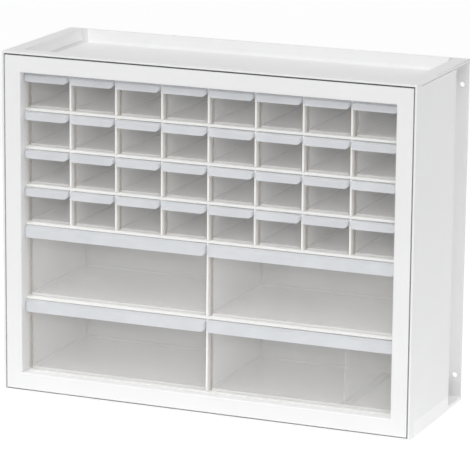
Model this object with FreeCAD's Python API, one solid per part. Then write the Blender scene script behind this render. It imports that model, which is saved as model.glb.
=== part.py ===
"""Craft drawer cabinet: a moulded case holding a rack of small and large slide-out drawers.

Frame: millimetres, +Z up, front faces -Y, origin at the middle of the footprint on the floor.
"""
import FreeCAD, Part
import os

os.makedirs("parts", exist_ok=True)
V = FreeCAD.Vector

# ---- Rack of cells ----
COLUMNS = 8                # small drawers side by side
LARGE_COLUMNS = 2          # large drawers side by side
SMALL_ROWS = 4
LARGE_ROWS = 2
COLUMN_PITCH = 56.25       # from one upright's middle to the next
SMALL_PITCH = 44.0         # from one shelf's middle to the next, small rows
LARGE_PITCH = 87.4         # the same, large rows
SHELF_T = 2.8
UPRIGHT_T = 2.5
RACK_WALL_T = 2.4          # the rack's outer plates
RACK_DEPTH = 161.2
SLOT_FIT = 0.15            # clearance on each face of a slotted joint
TAB_LENGTH = 24.0          # shelf tabs in the rack's sides
TAB_INSET = 18.0           # from the rack's front and back edges to the tabs

# ---- Case ----
SIDE_SPACE = 22.5          # rack side's inner face to the outside of the case
FLOOR_HEIGHT = 23.05       # top of the rack's floor above the ground
TOP_SPACE = 24.95          # underside of the rack's top to the top of the case
COLLAR_DEPTH = 14.0
COLLAR_T = 2.5
SHADOW_GAP = 1.5           # open joint between collar and front frame
FRAME_DROP = 0.35          # the frame hangs this much low in the collar
LEDGE_WIDTH = 4.0          # ledge in the collar that the frame seats on
FRAME_SEAT_DEPTH = 8.0     # front face to the ledge
FRAME_FACE_T = 2.5
FRAME_WALL_T = 2.0
FRAME_RIB_T = 1.6
FRAME_RIB_DEPTH = 6.5
FRAME_EDGE_CUT = 1.0       # bevel round the opening
FRAME_RIBS = 3             # stiffening ribs behind each bar of the frame
OPENING_SIDE_STEP = 0.4    # the opening is this much narrower than the rack at each side
OPENING_LOW_STEP = 0.55    # and starts this much below the rack's floor
OPENING_TOP_STEP = 1.85    # and ends this much above the underside of the rack's top
SIDE_T = 2.6
SIDE_DEPTH = 121.5         # length of a side cover behind the collar
SIDE_CORNER_R = 6.0
SIDE_TONGUE = 6.5          # tongue behind the side cover's top and bottom joints
TOP_JOINT = 0.6            # open joint between side cover and top
BASE_T = 4.0
BASE_SKIRT = 18.0          # height of the base's upstand at the sides
BASE_RIB_T = 2.5
BASE_RIB_SPACING = 150.0
TRAY_RIM_T = 3.2
TRAY_RIM_SIDE = 18.0
TRAY_RIM_FRONT = 3.0
TRAY_RIM_BACK = 2.6
TRAY_SUNK = 15.0           # rim to tray floor
TRAY_SLOPE = 3.5           # how far a tray wall leans in from rim to floor
TRAY_WALL_T = 2.5
TRAY_CORNER_R = 7.0
TRAY_COVE = ((0.0, 3.2), (0.9, 1.1), (2.8, 0.0))  # tray floor's edge: height, set in
CASE_EDGE_R = 1.5          # round along the upper side edges of the collar and the top
CASE_CLEAR = 0.3           # between case pieces that only pass each other
BACK_T = 2.8
BACK_INSET = 0.5           # back panel's side edges inside the case's sides
BACK_POCKET_DEPTH = 1.0
BACK_POCKET_ROWS = 2
BACK_POCKET_MARGIN = 24.0
BACK_POCKET_WEB = 10.0
HOLE_D = 6.0               # wall screws through the back panel's flanges
HOLE_SIDE = 8.2            # hole centre from the outside of the case
HOLE_LOW = 29.2            # lower holes above the ground
HOLE_TOP = 29.4            # upper holes below the top

# ---- Drawers ----
DRAWER_WALL_T = 1.3
DRAWER_FLOOR_T = 1.5
DRAWER_CORNER_CUT = 2.4    # flat at each upright corner, seen from above
DRAWER_SIDE_GAP = 0.575    # drawer to upright, each side
DRAWER_UNDER_GAP = 0.3     # drawer to the shelf below
LIP_OVER_GAP = 0.45        # lip to the shelf above
FRONT_SETBACK = 6.0        # drawer front behind the rack's front edges
REAR_SPACE = 6.0           # drawer back to back panel
LIP_REACH = 6.0            # lip in front of the rack's front edges
LIP_SEAT_GAP = 0.3         # lip's ends to the uprights' front edges
LIP_GAP = 1.85             # between neighbouring lips
LIP_T = 1.3
LIP_CORNER_CUT = 1.6       # lip's corners seen from above
LIP_END_R = 5.5            # lip's lower corners seen from the front
LIP_EDGE_CUT = 0.5         # bevel along the lip's top edge
SMALL_LIP_FALL = 1.4       # how far the lip's top falls towards its front edge
LARGE_LIP_FALL = 3.2
SMALL_LIP_HEIGHT = 9.2
LARGE_LIP_HEIGHT = 13.4
TRAVEL = 120.0             # pull-out of every drawer
STOP_RIB_HEIGHT = 1.2      # rib under each shelf that holds the drawer in
STOP_RIB_T = 1.5
STOP_RIB_SETBACK = 8.5     # rack's front edge to the rib
STOP_CLEAR = 0.4           # rim to rib while sliding
STOP_TAB_LENGTH = 3.0
STOP_TAB_GAP = 0.3         # tab to shelf above, and to the rib at full travel
DIVIDER_T = 1.4            # loose partition in one large drawer
DIVIDER_FROM_SIDE = 60.0   # from the drawer's right side
DIVIDER_LOW = 8.0          # its top edge below the drawer's rim
DIVIDER_GAP = 0.3
DIVIDER_FOOT_WIDTH = 12.0
DIVIDER_CORNER_R = 5.0

PAST = 1.0                 # how far a cutting block runs past the piece that it cuts
SIZE_TOL = 0.01            # for finding edges by where they lie

# ---- Places worked out from the sizes above ----
RACK_HALF = COLUMNS * COLUMN_PITCH / 2
CASE_HALF = RACK_HALF + SIDE_SPACE
RACK_TOP_Z = FLOOR_HEIGHT + LARGE_ROWS * LARGE_PITCH + SMALL_ROWS * SMALL_PITCH - SHELF_T
HEIGHT = RACK_TOP_Z + TOP_SPACE
DEPTH = COLLAR_DEPTH + RACK_DEPTH + BACK_T
FRONT_Y = -DEPTH / 2
BACK_Y = DEPTH / 2
RACK_Y0 = FRONT_Y + COLLAR_DEPTH
RACK_Y1 = RACK_Y0 + RACK_DEPTH
RACK_MID_Y = (RACK_Y0 + RACK_Y1) / 2
RACK_OUTER = RACK_HALF + RACK_WALL_T
SIDE_END_Y = RACK_Y0 + SIDE_DEPTH
LARGE_WIDTH_PITCHES = COLUMNS // LARGE_COLUMNS
OPENING_HALF = RACK_HALF - OPENING_SIDE_STEP
OPENING_Z0 = FLOOR_HEIGHT - OPENING_LOW_STEP
OPENING_Z1 = RACK_TOP_Z + OPENING_TOP_STEP
TRAY_FLOOR_Z = HEIGHT - TRAY_SUNK
TRAY_UNDER_Z = TRAY_FLOOR_Z - TRAY_WALL_T
TRAY_HALF = CASE_HALF - TRAY_RIM_SIDE
DRAWER_Y0 = RACK_Y0 + FRONT_SETBACK
DRAWER_Y1 = RACK_Y1 - REAR_SPACE
STOP_RIB_Y = RACK_Y0 + STOP_RIB_SETBACK


def box(x0, x1, y0, y1, z0, z1):
    """A block given by its two limits along each axis."""
    return Part.makeBox(x1 - x0, y1 - y0, z1 - z0, V(x0, y0, z0))


def fuse(shapes):
    """Join touching shapes into one solid and drop the seams between flat faces."""
    joined = shapes[0].fuse(shapes[1:]) if len(shapes) > 1 else shapes[0]
    return joined.removeSplitter()


def ring(x_half, z0, z1, y0, y1, inner_half, inner_z0, inner_z1):
    """A rectangular picture-frame ring standing in the XZ plane."""
    outer = box(-x_half, x_half, y0, y1, z0, z1)
    return outer.cut(box(-inner_half, inner_half, y0 - PAST, y1 + PAST, inner_z0, inner_z1))


def round_rect(a0, a1, b0, b1, radii, place, flat=False):
    """Closed outline of a rectangle with a radius, or a flat cut, at each corner.

    radii are for (a0,b0), (a1,b0), (a1,b1), (a0,b1); place turns (a, b) into a point.
    """
    corners = [(a0, b0, 1, 1), (a1, b0, -1, 1), (a1, b1, -1, -1), (a0, b1, 1, -1)]
    edges = []
    last = None
    first = None
    for index, (a, b, in_a, in_b) in enumerate(corners):
        r = radii[index]
        near = place(a + in_a * r, b)
        far = place(a, b + in_b * r)
        start, end = (far, near) if index % 2 == 0 else (near, far)
        if last is not None and last.distanceToPoint(start) > 1e-7:
            edges.append(Part.LineSegment(last, start).toShape())
        if first is None:
            first = start
        if r > 0 and flat:
            edges.append(Part.LineSegment(start, end).toShape())
        elif r > 0:
            bulge = r * (1 - 0.5 ** 0.5)
            mid = place(a + in_a * bulge, b + in_b * bulge)
            edges.append(Part.Arc(start, mid, end).toShape())
        last = end
    edges.append(Part.LineSegment(last, first).toShape())
    return Part.Wire(edges)


def flat_at(z):
    """Placing function for an outline that lies level at height z."""
    return lambda a, b: V(a, b, z)


def upright_at(y):
    """Placing function for an outline that stands in the XZ plane at y."""
    return lambda a, b: V(a, y, b)


def shelf_z(index):
    """Middle height of a shelf; 0 is the rack's top, then counting down to the rack's floor."""
    top = RACK_TOP_Z + SHELF_T / 2
    small = min(index, SMALL_ROWS)
    large = max(index - SMALL_ROWS, 0)
    return top - small * SMALL_PITCH - large * LARGE_PITCH


def upright_x(index):
    """Middle of upright number index, counted from 1 at the left."""
    return -RACK_HALF + index * COLUMN_PITCH


def stop_ribs(shelf_index):
    """Ribs under a shelf, one over each cell below it, that hold the drawers' stop tabs."""
    small = shelf_index < SMALL_ROWS
    span = 1 if small else LARGE_WIDTH_PITCHES
    z1 = shelf_z(shelf_index) - SHELF_T / 2
    half = (span * COLUMN_PITCH - UPRIGHT_T) / 2 - 2 * SLOT_FIT
    ribs = []
    for cell in range(COLUMNS // span):
        x = -RACK_HALF + (cell + 0.5) * span * COLUMN_PITCH
        ribs.append(box(x - half, x + half, STOP_RIB_Y, STOP_RIB_Y + STOP_RIB_T,
                        z1 - STOP_RIB_HEIGHT, z1))
    return ribs


def upper_side_edges(shape):
    """The two top edges that run front to back along the outside of the case."""
    side = CASE_HALF - SIZE_TOL
    return [edge for edge in shape.Edges
            if max(edge.BoundBox.XMin, -edge.BoundBox.XMax) > side
            and edge.BoundBox.ZMin > HEIGHT - SIZE_TOL]


def front_collar():
    """Band round the front of the case, with the ledge that the frame seats on."""
    band = ring(CASE_HALF, 0, HEIGHT, FRONT_Y, RACK_Y0,
                CASE_HALF - COLLAR_T, COLLAR_T, HEIGHT - COLLAR_T)
    band = band.makeFillet(CASE_EDGE_R, upper_side_edges(band))
    inset = COLLAR_T + LEDGE_WIDTH
    ledge = ring(CASE_HALF - COLLAR_T, COLLAR_T, HEIGHT - COLLAR_T,
                 FRONT_Y + FRAME_SEAT_DEPTH, RACK_Y0,
                 CASE_HALF - inset, inset, HEIGHT - inset)
    return fuse([band, ledge])


def front_frame():
    """Flat frame with a seating wall at its edge and a sleeve round the opening."""
    inset = COLLAR_T + SHADOW_GAP
    half, z0, z1 = CASE_HALF - inset, inset - FRAME_DROP, HEIGHT - inset - FRAME_DROP
    face_back = FRONT_Y + FRAME_FACE_T
    face = ring(half, z0, z1, FRONT_Y, face_back, OPENING_HALF, OPENING_Z0, OPENING_Z1)
    reach = OPENING_HALF + SIZE_TOL
    opening_edges = [edge for edge in face.Edges if edge.BoundBox.YMax < FRONT_Y + SIZE_TOL
                     and edge.BoundBox.XMax < reach and edge.BoundBox.XMin > -reach
                     and edge.BoundBox.ZMin > z0 + SIZE_TOL and edge.BoundBox.ZMax < z1 - SIZE_TOL]
    pieces = [face.makeChamfer(FRAME_EDGE_CUT, opening_edges)]
    wall = FRAME_WALL_T
    pieces.append(ring(half, z0, z1, face_back, FRONT_Y + FRAME_SEAT_DEPTH,
                       half - wall, z0 + wall, z1 - wall))
    pieces.append(ring(OPENING_HALF + wall, OPENING_Z0 - wall, OPENING_Z1 + wall,
                       face_back, RACK_Y0, OPENING_HALF, OPENING_Z0, OPENING_Z1))
    ledge_clear = COLLAR_T + LEDGE_WIDTH + CASE_CLEAR
    rib_back = face_back + FRAME_RIB_DEPTH
    for n in range(FRAME_RIBS):
        share = (n + 0.5) / FRAME_RIBS - 0.5
        x = share * 2 * OPENING_HALF
        z = OPENING_Z0 + (share + 0.5) * (OPENING_Z1 - OPENING_Z0)
        rib = FRAME_RIB_T / 2
        pieces.append(box(x - rib, x + rib, face_back, rib_back, ledge_clear, OPENING_Z0 - wall))
        pieces.append(box(x - rib, x + rib, face_back, rib_back,
                          OPENING_Z1 + wall, HEIGHT - ledge_clear))
        for x0, x1 in ((-CASE_HALF + ledge_clear, -OPENING_HALF - wall),
                       (OPENING_HALF + wall, CASE_HALF - ledge_clear)):
            pieces.append(box(x0, x1, face_back, rib_back, z - rib, z + rib))
    return fuse(pieces)


def tray_shell(grow, z_floor, cove):
    """Tapered tray body; grow is how far it lies outside the tray's inner faces.

    cove lists the steps between floor and walls as heights above z_floor and set-ins.
    """
    y0 = RACK_Y0 + TRAY_RIM_FRONT - grow
    y1 = BACK_Y - TRAY_RIM_BACK + grow
    half = TRAY_HALF + grow
    outlines = []
    for rise, set_in in cove + ((HEIGHT - z_floor, 0.0),):
        z = z_floor + rise
        step = TRAY_SLOPE * (HEIGHT - z) / TRAY_SUNK + set_in
        outlines.append(round_rect(-half + step, half - step, y0 + step, y1 - step,
                                   [TRAY_CORNER_R + grow - set_in] * 4, flat_at(z)))
    return Part.makeLoft(outlines, True, True)


def top_tray():
    """Top of the case: a flat rim with a sunk tray and ribs that bear on the rack."""
    rim = box(-CASE_HALF, CASE_HALF, RACK_Y0, BACK_Y, HEIGHT - TRAY_RIM_T, HEIGHT)
    rim = rim.makeFillet(CASE_EDGE_R, upper_side_edges(rim))
    tray = fuse([rim, tray_shell(TRAY_WALL_T, TRAY_UNDER_Z, ((0.0, 0.0),))])
    tray = tray.common(box(-CASE_HALF, CASE_HALF, RACK_Y0, BACK_Y, 0, HEIGHT))
    tray = tray.cut(tray_shell(0, TRAY_FLOOR_Z, TRAY_COVE))
    rack_top = RACK_TOP_Z + RACK_WALL_T
    ribs = [box(x - BASE_RIB_T / 2, x + BASE_RIB_T / 2, RACK_Y0 + 2 * TRAY_WALL_T + TRAY_SLOPE,
                RACK_Y1 - 2 * TRAY_WALL_T - TRAY_SLOPE, rack_top, TRAY_UNDER_Z)
            for x in (-BASE_RIB_SPACING, 0, BASE_RIB_SPACING)]
    return fuse([tray] + ribs)


def side_wall(z0, z1):
    """Right side wall between two heights; it turns in at the back to meet the rack."""
    outer = round_rect(RACK_OUTER, CASE_HALF, RACK_Y0, SIDE_END_Y,
                       [0, 0, SIDE_CORNER_R, 0], flat_at(z0))
    inner = round_rect(RACK_OUTER - PAST, CASE_HALF - SIDE_T, RACK_Y0 - PAST, SIDE_END_Y - SIDE_T,
                       [0, 0, SIDE_CORNER_R - SIDE_T, 0], flat_at(z0))
    rise = V(0, 0, z1 - z0)
    return Part.Face(outer).extrude(rise).cut(Part.Face(inner).extrude(rise))


def base():
    """Bottom plate with a low upstand at each side and ribs that carry the rack."""
    upstand = side_wall(BASE_T, BASE_SKIRT)
    pieces = [box(-CASE_HALF, CASE_HALF, RACK_Y0, BACK_Y, 0, BASE_T), upstand, mirrored(upstand)]
    for x in (-BASE_RIB_SPACING, 0, BASE_RIB_SPACING):
        pieces.append(box(x - BASE_RIB_T / 2, x + BASE_RIB_T / 2, RACK_Y0, RACK_Y1,
                          BASE_T, FLOOR_HEIGHT - RACK_WALL_T))
    return fuse(pieces)


def side_cover():
    """Right side: the wall above the base, with tongues that lock it to the base and the top."""
    z0 = BASE_SKIRT
    z1 = HEIGHT - TRAY_RIM_T - TOP_JOINT
    wall = side_wall(z0, z1)
    tray_reach = TRAY_HALF + TRAY_WALL_T + CASE_CLEAR
    wall = wall.cut(box(RACK_OUTER - PAST, tray_reach, SIDE_END_Y - 2 * SIDE_T, SIDE_END_Y + PAST,
                        TRAY_UNDER_Z - CASE_CLEAR, HEIGHT))
    tongue_x1 = CASE_HALF - SIDE_T
    tongue_y1 = SIDE_END_Y - SIDE_T
    tongue_z0 = z1 - SIDE_TONGUE
    tongue_z1 = HEIGHT - TRAY_RIM_T
    top_tongue = box(tongue_x1 - SIDE_T, tongue_x1, RACK_Y0, tongue_y1, tongue_z0, tongue_z1)
    rear_tongue = box(tray_reach, tongue_x1, tongue_y1 - SIDE_T, tongue_y1, tongue_z0, tongue_z1)
    low_y1 = SIDE_END_Y - SIDE_CORNER_R
    low_tongue = box(tongue_x1 - SIDE_T, tongue_x1, RACK_Y0, low_y1,
                     z0 - SIDE_TONGUE, z0 + SIDE_TONGUE)
    low_tongue = low_tongue.cut(box(tongue_x1 - CASE_CLEAR, tongue_x1 + PAST, RACK_Y0 - PAST,
                                    low_y1 + PAST, 0, z0))
    return fuse([wall, top_tongue, rear_tongue, low_tongue])


def mirrored(shape):
    """The same piece for the other side of the case."""
    return shape.mirror(V(0, 0, 0), V(1, 0, 0))


def back_panel():
    """Back plate with side flanges that carry the wall screws, cut away round the tray."""
    half = CASE_HALF - BACK_INSET
    panel = box(-half, half, RACK_Y1, BACK_Y, BASE_T, HEIGHT - TRAY_RIM_T)
    tray_reach = TRAY_HALF + TRAY_WALL_T + CASE_CLEAR
    middle_top = TRAY_UNDER_Z - CASE_CLEAR
    panel = panel.cut(box(-tray_reach, tray_reach, RACK_Y1 - PAST, BACK_Y + PAST, middle_top, HEIGHT))
    for x in (-CASE_HALF + HOLE_SIDE, CASE_HALF - HOLE_SIDE):
        for z in (HOLE_LOW, HEIGHT - HOLE_TOP):
            hole = Part.makeCylinder(HOLE_D / 2, BACK_T + 2 * PAST, V(x, RACK_Y1 - PAST, z), V(0, 1, 0))
            panel = panel.cut(hole)
    pocket_x = RACK_HALF - BACK_POCKET_MARGIN
    columns = LARGE_COLUMNS
    step_x = (2 * pocket_x + BACK_POCKET_WEB) / columns
    pocket_z0 = BASE_T + BACK_POCKET_MARGIN
    pocket_z1 = middle_top - BACK_POCKET_MARGIN
    step_z = (pocket_z1 - pocket_z0 + BACK_POCKET_WEB) / BACK_POCKET_ROWS
    for column in range(columns):
        for row in range(BACK_POCKET_ROWS):
            x0 = -pocket_x + column * step_x
            z0 = pocket_z0 + row * step_z
            panel = panel.cut(box(x0, x0 + step_x - BACK_POCKET_WEB,
                                  BACK_Y - BACK_POCKET_DEPTH, BACK_Y + PAST,
                                  z0, z0 + step_z - BACK_POCKET_WEB))
    return panel


def tab_ranges():
    """Y limits of the shelf tabs."""
    front = RACK_Y0 + TAB_INSET
    rear = RACK_Y1 - TAB_INSET
    return [(front, front + TAB_LENGTH), (rear - TAB_LENGTH, rear)]


def rack_side():
    """Right side of the rack, with slots for the shelves' tabs."""
    side = box(RACK_HALF, RACK_OUTER, RACK_Y0, RACK_Y1, FLOOR_HEIGHT, RACK_TOP_Z)
    for index in range(1, SMALL_ROWS + LARGE_ROWS):
        z = shelf_z(index)
        for y0, y1 in tab_ranges():
            side = side.cut(box(RACK_HALF - PAST, RACK_OUTER + PAST, y0 - SLOT_FIT, y1 + SLOT_FIT,
                                z - SHELF_T / 2 - SLOT_FIT, z + SHELF_T / 2 + SLOT_FIT))
    return side


def rack_top():
    """Top plate of the rack, over the first row of drawers."""
    plate = box(-RACK_OUTER, RACK_OUTER, RACK_Y0, RACK_Y1, RACK_TOP_Z, RACK_TOP_Z + RACK_WALL_T)
    return fuse([plate] + stop_ribs(0))


def rack_floor():
    """Bottom plate of the rack, under the last row of drawers."""
    return box(-RACK_OUTER, RACK_OUTER, RACK_Y0, RACK_Y1, FLOOR_HEIGHT - RACK_WALL_T, FLOOR_HEIGHT)


def shelf(index):
    """One shelf: tabs at its ends, stop ribs below, and slots at the back for the uprights."""
    z0 = shelf_z(index) - SHELF_T / 2
    z1 = z0 + SHELF_T
    pieces = [box(-RACK_HALF, RACK_HALF, RACK_Y0, RACK_Y1, z0, z1)]
    for y0, y1 in tab_ranges():
        pieces.append(box(-RACK_OUTER, RACK_OUTER, y0, y1, z0, z1))
    plate = fuse(pieces + stop_ribs(index))
    slot = UPRIGHT_T / 2 + SLOT_FIT
    for number in range(1, COLUMNS):
        crosses = index < SMALL_ROWS or number % LARGE_WIDTH_PITCHES == 0
        if crosses:
            x = upright_x(number)
            plate = plate.cut(box(x - slot, x + slot, RACK_MID_Y - SLOT_FIT, RACK_Y1 + PAST,
                                  z0 - PAST, z1 + PAST))
    return plate


def upright(number):
    """One upright, slotted from the front for the shelves that run through it."""
    full = number % LARGE_WIDTH_PITCHES == 0
    last = SMALL_ROWS + LARGE_ROWS if full else SMALL_ROWS
    z0 = FLOOR_HEIGHT if full else shelf_z(SMALL_ROWS) + SHELF_T / 2
    x = upright_x(number)
    plate = box(x - UPRIGHT_T / 2, x + UPRIGHT_T / 2, RACK_Y0, RACK_Y1, z0, RACK_TOP_Z)
    slot = SHELF_T / 2 + SLOT_FIT
    for index in range(1, last):
        z = shelf_z(index)
        plate = plate.cut(box(x - UPRIGHT_T, x + UPRIGHT_T, RACK_Y0 - PAST, RACK_MID_Y + SLOT_FIT,
                              z - slot, z + slot))
    return plate


def drawer_half(span):
    """Half the outer width of a drawer that is span columns wide."""
    return (span * COLUMN_PITCH - UPRIGHT_T) / 2 - DRAWER_SIDE_GAP


def drawer_rim(pitch):
    """Rim height of a drawer, low enough to pass under the stop ribs."""
    return pitch - SHELF_T - DRAWER_UNDER_GAP - STOP_RIB_HEIGHT - STOP_CLEAR


def cut_block(x0, x1, y0, y1, z0, z1, cuts):
    """A block with its upright corners cut flat; cuts are in the order of round_rect's radii."""
    outline = round_rect(x0, x1, y0, y1, cuts, flat_at(z0), flat=True)
    return Part.Face(outline).extrude(V(0, 0, z1 - z0))


def over_slope(half, y0, y1, z1, fall):
    """Everything above a roof that falls from z1 at y1 to z1 - fall at y0."""
    high = z1 + PAST
    corners = [V(-half, y0, z1 - fall), V(-half, y1, z1), V(-half, y1, high), V(-half, y0, high)]
    return Part.Face(Part.makePolygon(corners + corners[:1])).extrude(V(2 * half, 0, 0))


def drawer_lip(span, pitch, height, fall):
    """Pull lip: a falling top with a skirt that turns down round its front and ends."""
    top_z = pitch - SHELF_T - DRAWER_UNDER_GAP - LIP_OVER_GAP
    low_z = top_z - height
    half = (span * COLUMN_PITCH - LIP_GAP) / 2
    y0 = RACK_Y0 - LIP_REACH
    y1 = RACK_Y0 - LIP_SEAT_GAP
    block = cut_block(-half, half, y0, y1, low_z, top_z, [LIP_CORNER_CUT, LIP_CORNER_CUT, 0, 0])
    block = block.cut(over_slope(half + PAST, y0, y1, top_z, fall))
    bevelled = [edge for edge in block.Edges
                if edge.BoundBox.ZMin > top_z - fall - SIZE_TOL
                and edge.BoundBox.YMin < y1 - SIZE_TOL]
    block = block.makeChamfer(LIP_EDGE_CUT, bevelled)
    front_shape = round_rect(-half, half, low_z, top_z + PAST, [LIP_END_R, LIP_END_R, 0, 0],
                             upright_at(y0 - PAST))
    block = block.common(Part.Face(front_shape).extrude(V(0, LIP_REACH + 2 * PAST, 0)))
    rim_z = drawer_rim(pitch)
    hollow = box(-half + LIP_T, half - LIP_T, y0 + LIP_T, y1 + PAST, low_z - PAST, rim_z)
    block = block.cut(hollow.cut(over_slope(half, y0, y1, rim_z, fall)))
    bridge_half = drawer_half(span)
    bridge = box(-bridge_half, bridge_half, y1 - LIP_T, DRAWER_Y0 + DRAWER_WALL_T, rim_z, top_z)
    return [block, bridge.cut(over_slope(half, y0, y1, top_z, fall))]


def drawer(span, pitch, lip_height, lip_fall):
    """A drawer in its own frame: middle at x = 0, underside at z = 0, closed position in y."""
    half = drawer_half(span)
    rim_z = drawer_rim(pitch)
    body = cut_block(-half, half, DRAWER_Y0, DRAWER_Y1, 0, rim_z, [DRAWER_CORNER_CUT] * 4)
    wall = DRAWER_WALL_T
    inner_cut = DRAWER_CORNER_CUT - wall * (2 - 2 ** 0.5)
    inside = cut_block(-half + wall, half - wall, DRAWER_Y0 + wall, DRAWER_Y1 - wall,
                       DRAWER_FLOOR_T, rim_z, [inner_cut] * 4)
    tab_y0 = STOP_RIB_Y + STOP_RIB_T + TRAVEL + STOP_TAB_GAP
    tab_z1 = pitch - SHELF_T - DRAWER_UNDER_GAP - STOP_TAB_GAP
    tabs = [box(x0, x0 + wall, tab_y0, tab_y0 + STOP_TAB_LENGTH, rim_z, tab_z1)
            for x0 in (-half, half - wall)]
    return fuse([body.cut(inside)] + drawer_lip(span, pitch, lip_height, lip_fall) + tabs)


def drawer_divider():
    """Loose partition with a flat foot, in the frame of a large drawer."""
    x = drawer_half(LARGE_WIDTH_PITCHES) - DIVIDER_FROM_SIDE
    y0 = DRAWER_Y0 + DRAWER_WALL_T + DIVIDER_GAP
    y1 = DRAWER_Y1 - DRAWER_WALL_T - DIVIDER_GAP
    z1 = drawer_rim(LARGE_PITCH) - DIVIDER_LOW
    outline = round_rect(y0, y1, DRAWER_FLOOR_T, z1, [0, 0, DIVIDER_CORNER_R, DIVIDER_CORNER_R],
                         lambda y, z: V(x - DIVIDER_T / 2, y, z))
    plate = Part.Face(outline).extrude(V(DIVIDER_T, 0, 0))
    foot_y0 = y0 + DRAWER_CORNER_CUT
    foot_y1 = y1 - DRAWER_CORNER_CUT
    foot = box(x - DIVIDER_FOOT_WIDTH / 2, x + DIVIDER_FOOT_WIDTH / 2, foot_y0, foot_y1,
               DRAWER_FLOOR_T, DRAWER_FLOOR_T + DIVIDER_T)
    return fuse([plate, foot])


def drawer_place(span, row, column):
    """Where a drawer's own frame sits; row counts all rows from the top, from 0."""
    x = -RACK_HALF + (column + 0.5) * span * COLUMN_PITCH
    return V(x, 0, shelf_z(row + 1) + SHELF_T / 2 + DRAWER_UNDER_GAP)


def moved(shape, place):
    """A copy of the shape at a place."""
    copy = shape.copy()
    copy.translate(place)
    return copy


def case_parts():
    """Named pieces of the case."""
    cover = side_cover()
    return {"front_collar": front_collar(), "front_frame": front_frame(),
            "top_tray": top_tray(), "base": base(), "back_panel": back_panel(),
            "side_cover_right": cover, "side_cover_left": mirrored(cover)}


def rack_parts():
    """Named pieces of the rack."""
    side = rack_side()
    parts = {"rack_side_right": side, "rack_side_left": mirrored(side),
             "rack_top": rack_top(), "rack_floor": rack_floor()}
    for index in range(1, SMALL_ROWS + LARGE_ROWS):
        parts[f"shelf_{index}"] = shelf(index)
    for number in range(1, COLUMNS):
        parts[f"upright_{number}"] = upright(number)
    return parts


def drawer_parts():
    """Named drawers, each at its closed place, and the loose partition."""
    parts = {}
    small = drawer(1, SMALL_PITCH, SMALL_LIP_HEIGHT, SMALL_LIP_FALL)
    for row in range(SMALL_ROWS):
        for column in range(COLUMNS):
            name = f"small_drawer_row{row + 1}_col{column + 1}"
            parts[name] = moved(small, drawer_place(1, row, column))
    large = drawer(LARGE_WIDTH_PITCHES, LARGE_PITCH, LARGE_LIP_HEIGHT, LARGE_LIP_FALL)
    for row, level in enumerate(("upper", "lower")):
        for column, side in enumerate(("left", "right")):
            place = drawer_place(LARGE_WIDTH_PITCHES, SMALL_ROWS + row, column)
            parts[f"large_drawer_{level}_{side}"] = moved(large, place)
    parts["drawer_divider"] = moved(drawer_divider(), place)
    return parts


parts = {**case_parts(), **rack_parts(), **drawer_parts()}
for name, shape in parts.items():
    shape.exportStep(f"parts/{name}.step")
print(len(parts), "pieces", 2 * CASE_HALF, "x", DEPTH, "x", HEIGHT, "mm")
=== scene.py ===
"""Small parts cabinet: a white moulded case and rack with thirty-two small and four large clear drawers."""

import math

import bpy
from mathutils import Matrix, Vector


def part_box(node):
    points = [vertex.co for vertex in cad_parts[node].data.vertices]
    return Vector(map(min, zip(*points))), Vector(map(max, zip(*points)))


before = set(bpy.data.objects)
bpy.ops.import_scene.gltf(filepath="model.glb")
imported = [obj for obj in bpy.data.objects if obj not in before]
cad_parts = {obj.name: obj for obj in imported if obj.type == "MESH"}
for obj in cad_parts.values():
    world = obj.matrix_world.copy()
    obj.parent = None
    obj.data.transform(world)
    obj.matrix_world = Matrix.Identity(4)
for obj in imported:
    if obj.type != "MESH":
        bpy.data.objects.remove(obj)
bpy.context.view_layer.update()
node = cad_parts


# Base and side covers: the outer skin of the case, moulded in white polystyrene with a fine
# sparked texture. The covers push on to the base and the tray with a tongue all round.
SPARK_DEPTH = 0.000012
MOULD_EDGE = 0.0003
SHARP_FROM = 52
WELD_REACH = 0.00001


def add(tree, kind, place=(0, 0), **settings):
    """Adds one node of a material and sets what is said about it."""
    made = tree.nodes.new(kind)
    made.location = place
    for key, value in settings.items():
        setattr(made, key, value)
    return made


def cloud(tree, where, size, detail=3.0, roughness=0.5):
    """A soft noise whose blobs are about size metres across on the part."""
    noise = add(tree, "ShaderNodeTexNoise", (-900, 0))
    noise.inputs["Scale"].default_value = 1.0 / size
    noise.inputs["Detail"].default_value = detail
    noise.inputs["Roughness"].default_value = roughness
    tree.links.new(where, noise.inputs["Vector"])
    return noise.outputs["Fac"]


def spread(tree, value, low, high):
    """Takes a noise between 0.3 and 0.7 to the range from low to high."""
    span = add(tree, "ShaderNodeMapRange", (-650, 0))
    span.inputs["From Min"].default_value = 0.3
    span.inputs["From Max"].default_value = 0.7
    span.inputs["To Min"].default_value = low
    span.inputs["To Max"].default_value = high
    tree.links.new(value, span.inputs["Value"])
    return span.outputs["Result"]


def between(tree, share, first, second):
    """Mixes two colours by a share from 0 to 1."""
    blend = add(tree, "ShaderNodeMix", (-400, 0), data_type="RGBA")
    blend.inputs["A"].default_value = (*first, 1)
    blend.inputs["B"].default_value = (*second, 1)
    tree.links.new(share, blend.inputs["Factor"])
    return blend.outputs["Result"]


def roughened(tree, heights, depth, under=None):
    """A surface whose highs and lows are depth metres apart, over another one or none."""
    bump = add(tree, "ShaderNodeBump", (-250, -400))
    bump.inputs["Strength"].default_value = 1.0
    bump.inputs["Distance"].default_value = depth
    tree.links.new(heights, bump.inputs["Height"])
    if under is not None:
        tree.links.new(under, bump.inputs["Normal"])
    return bump.outputs["Normal"]


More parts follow.
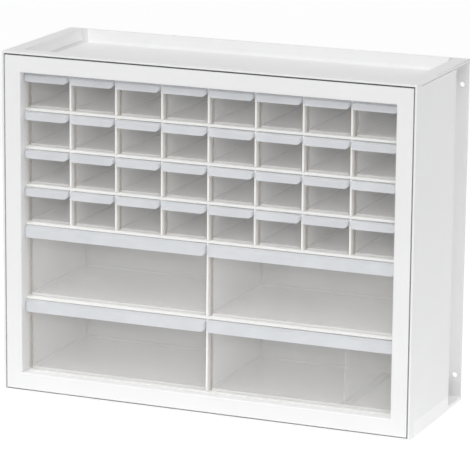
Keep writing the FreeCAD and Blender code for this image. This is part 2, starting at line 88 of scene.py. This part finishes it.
def moulded_white(name, pale, dull, grain=0.0009, satin=(0.36, 0.5), sink=0.00004):
    """Opaque moulded plastic: slow drift of tone, sparked grain, and slight sinks over its ribs."""
    material = bpy.data.materials.new(name)
    material.use_nodes = True
    tree = material.node_tree
    shader = tree.nodes["Principled BSDF"]
    where = add(tree, "ShaderNodeTexCoord", (-1150, 0)).outputs["Object"]
    drift = cloud(tree, where, 0.07)
    sparks = cloud(tree, where, grain, detail=2.0)
    sinks = cloud(tree, where, 0.045, detail=1.0)
    tree.links.new(between(tree, spread(tree, drift, 0, 1), pale, dull), shader.inputs["Base Color"])
    tree.links.new(spread(tree, sparks, *satin), shader.inputs["Roughness"])
    skin = roughened(tree, sparks, SPARK_DEPTH, roughened(tree, sinks, sink))
    tree.links.new(skin, shader.inputs["Normal"])
    shader.inputs["IOR"].default_value = 1.5
    return material


def finish_in(material, names):
    """Gives whole pieces one finish."""
    for name in names:
        part = node[name]
        part.data.materials.clear()
        part.data.materials.append(material)


def ease_edges(names):
    """Breaks the sharp edges by a little, as the corners of a mould do."""
    for name in names:
        joined = node[name].modifiers.new("joined", "WELD")
        joined.merge_threshold = WELD_REACH
        eased = node[name].modifiers.new("eased_edges", "BEVEL")
        eased.width = MOULD_EDGE
        eased.segments = 2
        eased.limit_method = "ANGLE"
        eased.angle_limit = math.radians(SHARP_FROM)
        eased.use_clamp_overlap = False
        eased.loop_slide = False
        eased.harden_normals = True


base_white = moulded_white("base_white", (0.965, 0.965, 0.967), (0.95, 0.95, 0.952))
shell_white = moulded_white("shell_white", (0.905, 0.905, 0.908), (0.885, 0.885, 0.888))
finish_in(base_white, ["base"])
side_covers = ["side_cover_right", "side_cover_left"]
finish_in(shell_white, side_covers)
ease_edges(side_covers)


# Top tray: one deep moulding that closes the case and gives a sunken shelf with sloping walls for
# loose tools. Its walls carry painted light, a lighter white than its floor and rim, and painted
# shade greys the coves at both ends.
OUTER_EDGE = 0.245
BACK_EDGE = 0.0885
COVE_SLANT = (0.08, 0.93)
FACING_DOWN = -0.1
tray_white = moulded_white("tray_white", (0.875, 0.875, 0.877), (0.855, 0.855, 0.857), satin=(0.3, 0.44))
# Painted shade for the coves at the ends, and a lighter white of painted light for the walls.
tray_cove_painted_shade = moulded_white("tray_cove_painted_shade", (0.74, 0.74, 0.74), (0.70, 0.70, 0.70), satin=(0.45, 0.6))
tray_wall_painted_light = moulded_white("tray_wall_painted_light", (0.94, 0.94, 0.942), (0.92, 0.92, 0.922), satin=(0.3, 0.44))
finish_in(tray_white, ["top_tray"])
tray = node["top_tray"]
tray.data.materials.append(tray_cove_painted_shade)
tray.data.materials.append(tray_wall_painted_light)
# Painted shade on the end coves, painted light on the walls.
for face in tray.data.polygons:
    inside = abs(face.center.x) < OUTER_EDGE and abs(face.center.y) < BACK_EDGE
    if not inside or face.normal.z <= FACING_DOWN:
        continue
    if COVE_SLANT[0] < abs(face.normal.x) < COVE_SLANT[1]:
        face.material_index = 1
    elif max(abs(face.normal.x), abs(face.normal.y)) > COVE_SLANT[1]:
        face.material_index = 2
ease_edges(["top_tray"])


# Front collar and front frame: the collar is the picture-frame edge round the case, and the frame
# drops into it and leaves a narrow gap, whose walls darken inwards with painted shade. A brighter
# white of painted light marks the sill's upward faces. Both are glossier than the skin.
FRONT_PALE = (0.884, 0.884, 0.887)
FRONT_DULL = (0.864, 0.864, 0.867)
# Painted shade in the gap: its walls darken towards this grey between two shares of its depth.
GAP_SHADE = (0.22, 0.22, 0.23)
SHADE_FROM = 0.16
SHADE_FULL = 0.50
LOW_SHADE_FROM = 0.02
LOW_SHADE_FULL = 0.35
SILL_TOP = 0.060
COLLAR_THICK = 0.0025
WALL_REACH = 0.0001
SQUARE_ON = 0.9
FACING_UP = 0.3
front_white = moulded_white("front_white", FRONT_PALE, FRONT_DULL, satin=(0.28, 0.4))
finish_in(front_white, ["front_collar", "front_frame"])
ease_edges(["front_collar", "front_frame"])


def shaded_front_white(name, unshaded_to, full_at):
    """The front's white, darkened by painted shade between two shares of the way to its back."""
    material = moulded_white(name, FRONT_PALE, FRONT_DULL, satin=(0.5, 0.6))
    tree = material.node_tree
    shader = tree.nodes["Principled BSDF"]
    unshaded_white = shader.inputs["Base Color"].links[0].from_socket
    depth = add(tree, "ShaderNodeSeparateXYZ")
    tree.links.new(add(tree, "ShaderNodeTexCoord").outputs["Generated"], depth.inputs[0])
    shade_share = add(tree, "ShaderNodeMapRange", interpolation_type="SMOOTHSTEP")
    shade_share.inputs["From Min"].default_value = unshaded_to
    shade_share.inputs["From Max"].default_value = full_at
    tree.links.new(depth.outputs["Y"], shade_share.inputs["Value"])
    shade_mix = add(tree, "ShaderNodeMix", data_type="RGBA")
    shade_mix.inputs["B"].default_value = (*GAP_SHADE, 1)
    tree.links.new(shade_share.outputs["Result"], shade_mix.inputs["Factor"])
    tree.links.new(unshaded_white, shade_mix.inputs["A"])
    tree.links.new(shade_mix.outputs["Result"], shader.inputs["Base Color"])
    return material


# Painted shade for the gap walls; the lower one darkens nearer the front.
gap_painted_shade = shaded_front_white("gap_painted_shade", SHADE_FROM, SHADE_FULL)
low_gap_painted_shade = shaded_front_white("low_gap_painted_shade", LOW_SHADE_FROM, LOW_SHADE_FULL)
# Painted light: a brighter white for the upward faces of the sill.
sill_painted_light = moulded_white("sill_painted_light", (0.965, 0.965, 0.967), (0.95, 0.95, 0.952))


def shade_gap_walls(name, inset):
    """Puts painted shade on the walls that stand inset from the outside, and painted light on the sill."""
    part = node[name]
    part.data.materials.append(gap_painted_shade)
    part.data.materials.append(low_gap_painted_shade)
    if name == "front_frame":
        part.data.materials.append(sill_painted_light)
    low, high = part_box(name)
    # Gap walls get painted shade, the sill's upward faces painted light.
    for face in part.data.polygons:
        spot = face.center
        off_side = min(abs(spot.x - low.x - inset), abs(high.x - inset - spot.x))
        off_level = min(abs(spot.z - low.z - inset), abs(high.z - inset - spot.z))
        on_side = abs(face.normal.x) > SQUARE_ON and off_side < WALL_REACH
        on_level = abs(face.normal.z) > SQUARE_ON and off_level < WALL_REACH
        if on_side or on_level:
            face.material_index = 2 if on_level and spot.z < SILL_TOP else 1
        elif name == "front_frame" and spot.z < SILL_TOP and face.normal.z > FACING_UP:
            face.material_index = 3


shade_gap_walls("front_collar", COLLAR_THICK)
shade_gap_walls("front_frame", 0.0)


# Back panel: a plain moulded sheet with shallow pockets and four screw holes, snapped on behind the
# rack. Its face is coarser, since it stands against the wall.
back_white = moulded_white(
    "back_white", (0.90, 0.90, 0.903), (0.88, 0.88, 0.884), grain=0.0014, satin=(0.45, 0.6)
)
finish_in(back_white, ["back_panel"])


# Rack sides, top and floor: flat moulded plates that stand inside the case and carry the shelves
# in slots. Their white is a shade creamier than the case.
CREAM_PALE = (0.965, 0.96, 0.945)
CREAM_DULL = (0.95, 0.945, 0.93)
rack_white = moulded_white("rack_white", CREAM_PALE, CREAM_DULL)
rack_plates = ["rack_side_right", "rack_side_left", "rack_top", "rack_floor"]
finish_in(rack_white, rack_plates)


# Shelves: five long plates, slotted for the uprights, with stop ribs moulded under them. They are
# the bright level lines of the front, as their front edges are rounded and catch the light.
SHELF_ROUND = 0.0011
LONG_RUN = 0.004
shelf_white = moulded_white("shelf_white", CREAM_PALE, CREAM_DULL)
shelves = [f"shelf_{row}" for row in range(1, 6)]
finish_in(shelf_white, shelves)


def round_front(names, radius):
    """Rounds the long front edges of plates that run along one axis."""
    for name in names:
        mesh = node[name].data
        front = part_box(name)[0].y + WELD_REACH
        weights = mesh.attributes.new("bevel_weight_edge", "FLOAT", "EDGE")
        for edge in mesh.edges:
            one, other = (mesh.vertices[index].co for index in edge.vertices)
            across, rise = abs(other.x - one.x), abs(other.z - one.z)
            long_run = max(across, rise) > LONG_RUN and min(across, rise) < WELD_REACH
            if long_run and max(one.y, other.y) < front:
                weights.data[edge.index].value = 1.0
        joined = node[name].modifiers.new("joined", "WELD")
        joined.merge_threshold = WELD_REACH
        rounded = node[name].modifiers.new("rounded_front", "BEVEL")
        rounded.limit_method = "WEIGHT"
        rounded.width = radius
        rounded.segments = 4
        rounded.harden_normals = True


round_front(shelves, SHELF_ROUND)


# Uprights: seven slotted plates that cross the shelves and make the cells of the rack. The middle
# one runs the full height, between the large drawers as well. Their front edges are rounded too.
UPRIGHT_ROUND = 0.0009
upright_white = moulded_white("upright_white", CREAM_PALE, CREAM_DULL)
uprights = [f"upright_{column}" for column in range(1, 8)]
finish_in(upright_white, uprights)
round_front(uprights, UPRIGHT_ROUND)


# Small drawers: thin clear boxes, moulded in one piece with a pull lip that hangs over the front.
# The box is glassy and faintly hazy, denser at its corners and foot, where the plastic is seen edge
# on, its corner flats darkened to tan by painted shade, and the lip is frosted, so that it reads as a
# pale blue-grey bar.
HAZE_DRIFT = 0.012
FLOW_DEPTH = 0.00005
FOOT_EXTRA = 0.38
SCUFF = 0.000006
BOX_FRONT = -0.0745
SMALL_LIP = 0.0118


def moulded_clear(name, colour, milky, cover, gloss, scuff=SCUFF, foot=None):
    """Clear plastic that hides the share cover of what is behind it; foot is where a floor joins."""
    material = bpy.data.materials.new(name)
    material.use_nodes = True
    tree = material.node_tree
    shader = tree.nodes["Principled BSDF"]
    where = add(tree, "ShaderNodeTexCoord", (-1150, 0)).outputs["Object"]
    flow = cloud(tree, where, 0.03, detail=2.0)
    scratches = cloud(tree, where, 0.0016, detail=4.0, roughness=0.7)
    tree.links.new(between(tree, spread(tree, flow, 0, 1), colour, milky), shader.inputs["Base Color"])
    hides = spread(tree, flow, cover - HAZE_DRIFT, cover + HAZE_DRIFT)
    if foot:
        hides = denser_foot(tree, hides, foot)
    tree.links.new(hides, shader.inputs["Alpha"])
    tree.links.new(spread(tree, scratches, *gloss), shader.inputs["Roughness"])
    skin = roughened(tree, scratches, scuff, roughened(tree, flow, FLOW_DEPTH))
    tree.links.new(skin, shader.inputs["Normal"])
    shader.inputs["IOR"].default_value = 1.55
    return material


def denser_foot(tree, hides, foot):
    """Thickens the haze in the lowest share foot of a box, where its floor is seen edge on."""
    rise = add(tree, "ShaderNodeSeparateXYZ")
    tree.links.new(add(tree, "ShaderNodeTexCoord").outputs["Generated"], rise.inputs[0])
    edge_on = add(tree, "ShaderNodeMapRange")
    edge_on.inputs["From Min"].default_value = foot
    edge_on.inputs["From Max"].default_value = 1.5 * foot
    edge_on.inputs["To Min"].default_value = FOOT_EXTRA
    edge_on.inputs["To Max"].default_value = 0.0
    tree.links.new(rise.outputs["Z"], edge_on.inputs["Value"])
    denser = add(tree, "ShaderNodeMath", operation="ADD")
    tree.links.new(hides, denser.inputs[0])
    tree.links.new(edge_on.outputs["Result"], denser.inputs[1])
    return denser.outputs[0]


clear_box = moulded_clear(
    "clear_box", (0.95, 0.95, 0.96), (0.96, 0.96, 0.97), cover=0.16, gloss=(0.08, 0.18)
)
small_walls = moulded_clear(
    "clear_wall_small", (0.90, 0.89, 0.88), (0.93, 0.92, 0.92), cover=0.21, gloss=(0.08, 0.18), foot=0.045
)
# Painted shade: a dark tan, denser clear for the corner flats of the drawers.
clear_corner_painted_shade = moulded_clear(
    "clear_corner_painted_shade", (0.60, 0.54, 0.47), (0.66, 0.60, 0.53), cover=0.48, gloss=(0.3, 0.4), scuff=0.000002
)
frosted_lip = moulded_clear(
    "frosted_lip", (0.82, 0.84, 0.875), (0.86, 0.88, 0.91), cover=0.60, gloss=(0.25, 0.4), scuff=0.00001
)


def drawer_finish(name, walls, lip_height):
    """Frosts the lip, paints shade on the corner flats and gives walls and floor their own clear plastic.
    """
    part = node[name]
    low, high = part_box(name)
    part.data.materials.clear()
    for finish in (clear_box, frosted_lip, walls, clear_corner_painted_shade):
        part.data.materials.append(finish)
    for face in part.data.polygons:
        if face.center.y < BOX_FRONT and face.center.z > high.z - lip_height:
            face.material_index = 1
        elif abs(face.normal.x) > 0.4 and abs(face.normal.y) > 0.4:
            face.material_index = 3
        elif abs(face.normal.z) < 0.1:
            face.material_index = 2


for row in range(1, 5):
    for column in range(1, 9):
        drawer_finish(f"small_drawer_row{row}_col{column}", small_walls, SMALL_LIP)


# Large drawers: the same mouldings four cells wide, two across and two high. Their walls are a
# little milkier than those of the small ones.
LARGE_LIP = 0.0154
large_walls = moulded_clear(
    "clear_wall_large", (0.95, 0.94, 0.93), (0.96, 0.955, 0.95), cover=0.24, gloss=(0.12, 0.22), foot=0.028
)
for level in ("upper", "lower"):
    for side in ("left", "right"):
        drawer_finish(f"large_drawer_{level}_{side}", large_walls, LARGE_LIP)


# Partition: a loose clear plate with a foot, stood in the lower right drawer to keep a narrow bay
# apart. It is cut from the same clear plastic and slides with that drawer.
clear_plate = moulded_clear(
    "clear_plate", (0.95, 0.95, 0.96), (0.96, 0.96, 0.97), cover=0.2, gloss=(0.1, 0.2)
)
finish_in(clear_plate, ["drawer_divider"])


# Floor: a plain pale sheet under the cabinet. It shows white to the camera and to reflections,
# apart from the soft shadow of the cabinet, and close by it glows a little, a painted glow that
# throws light up onto the cabinet.
FLOOR_REACH = 14.0
WHITE_LIFT = 0.22
GLOW = 0.28
GLOW_FROM = 0.3
GLOW_TO = 1.5


def floor_sheet(reach):
    """A square sheet that reaches so far each way."""
    mesh = bpy.data.meshes.new("floor")
    corners = [(-reach, -reach, 0), (reach, -reach, 0), (reach, reach, 0), (-reach, reach, 0)]
    mesh.from_pydata(corners, [], [(0, 1, 2, 3)])
    sheet = bpy.data.objects.new("floor", mesh)
    bpy.context.scene.collection.objects.link(sheet)
    return sheet


floor = floor_sheet(FLOOR_REACH)
paper = bpy.data.materials.new("paper")
paper.use_nodes = True
tree = paper.node_tree
matte = tree.nodes["Principled BSDF"]
where = add(tree, "ShaderNodeTexCoord").outputs["Object"]
fibre = cloud(tree, where, 0.004)
tree.links.new(between(tree, spread(tree, fibre, 0, 1), (0.90, 0.90, 0.90), (0.88, 0.88, 0.88)),
               matte.inputs["Base Color"])
matte.inputs["Roughness"].default_value = 0.9
matte.inputs["Specular IOR Level"].default_value = 0.0
matte.inputs["Emission Color"].default_value = (1, 1, 1, 1)
away = add(tree, "ShaderNodeVectorMath", operation="LENGTH")
tree.links.new(where, away.inputs[0])
# Painted glow near the cabinet, fading with distance.
glow = add(tree, "ShaderNodeMapRange")
glow.inputs["From Min"].default_value = GLOW_FROM
glow.inputs["From Max"].default_value = GLOW_TO
glow.inputs["To Min"].default_value = GLOW
glow.inputs["To Max"].default_value = 0.0
tree.links.new(away.outputs["Value"], glow.inputs["Value"])
ray = add(tree, "ShaderNodeLightPath")
seen = add(tree, "ShaderNodeMath", operation="MAXIMUM")
tree.links.new(ray.outputs["Is Camera Ray"], seen.inputs[0])
tree.links.new(ray.outputs["Is Glossy Ray"], seen.inputs[1])
lift = add(tree, "ShaderNodeMath", operation="MULTIPLY_ADD")
lift.inputs[1].default_value = WHITE_LIFT
tree.links.new(seen.outputs[0], lift.inputs[0])
tree.links.new(glow.outputs["Result"], lift.inputs[2])
tree.links.new(lift.outputs[0], matte.inputs["Emission Strength"])
floor.data.materials.append(paper)


# Light: an even pale room with three broad soft lamps. The main one stands in front and above, a
# weaker one to the right, and a faint one lifts the back.
ROOM_LEVEL = 0.30
LAMP_SPREAD = 60
world = bpy.data.worlds.new("room")
bpy.context.scene.world = world
world.use_nodes = True
tree = world.node_tree
room = tree.nodes["Background"]
room.inputs["Color"].default_value = (1, 1, 1, 1)
ray = add(tree, "ShaderNodeLightPath")
seen = add(tree, "ShaderNodeMath", operation="MAXIMUM")
tree.links.new(ray.outputs["Is Camera Ray"], seen.inputs[0])
tree.links.new(ray.outputs["Is Transmission Ray"], seen.inputs[1])
level = add(tree, "ShaderNodeMapRange")
level.inputs["To Min"].default_value = ROOM_LEVEL
level.inputs["To Max"].default_value = 1.0
tree.links.new(seen.outputs[0], level.inputs["Value"])
tree.links.new(level.outputs["Result"], room.inputs["Strength"])


def broad_lamp(name, towards, energy):
    """A far lamp as wide as a window, seen from the cabinet in the direction towards."""
    lamp = bpy.data.lights.new(name, "SUN")
    lamp.energy = energy
    lamp.angle = math.radians(LAMP_SPREAD)
    holder = bpy.data.objects.new(name, lamp)
    bpy.context.scene.collection.objects.link(holder)
    holder.rotation_euler = Vector(towards).to_track_quat("Z", "Y").to_euler()


broad_lamp("front_lamp", (-0.03, -0.60, 0.80), 1.62)
broad_lamp("side_lamp", (0.70, -0.20, 0.65), 0.62)
broad_lamp("back_lamp", (-0.45, 0.88, 0.05), 0.30)


# Camera: in front, to the right and a little above, with a long lens. Its focal length is in pixels
# of a frame that is 470 wide, and its aim is a turn, a tilt and a small roll in radians.
FRAME_PIXELS = 470
FOCAL_PIXELS = 3097.99
SENSOR = 36.0
STAND = (1.31297536, -3.16085123, 0.998855934)
TURN = -0.393184623
TILT = -0.232497673
ROLL = 0.00909700943
camera = bpy.data.cameras.new("camera")
camera.sensor_width = SENSOR
camera.lens = SENSOR * FOCAL_PIXELS / FRAME_PIXELS
camera.clip_end = 100
viewer = bpy.data.objects.new("camera", camera)
bpy.context.scene.collection.objects.link(viewer)
ahead = Vector((math.sin(TURN) * math.cos(TILT), math.cos(TURN) * math.cos(TILT), math.sin(TILT)))
level_right = ahead.cross(Vector((0, 0, 1))).normalized()
level_up = level_right.cross(ahead)
right = math.cos(ROLL) * level_right + math.sin(ROLL) * level_up
up = math.cos(ROLL) * level_up - math.sin(ROLL) * level_right
axes = Matrix((right, up, -ahead)).transposed().to_4x4()
viewer.matrix_world = Matrix.Translation(STAND) @ axes
bpy.context.scene.camera = viewer
bpy.context.scene.view_settings.view_transform = "Standard"
bpy.context.scene.cycles.diffuse_bounces = 10
bpy.context.scene.cycles.transparent_max_bounces = 16
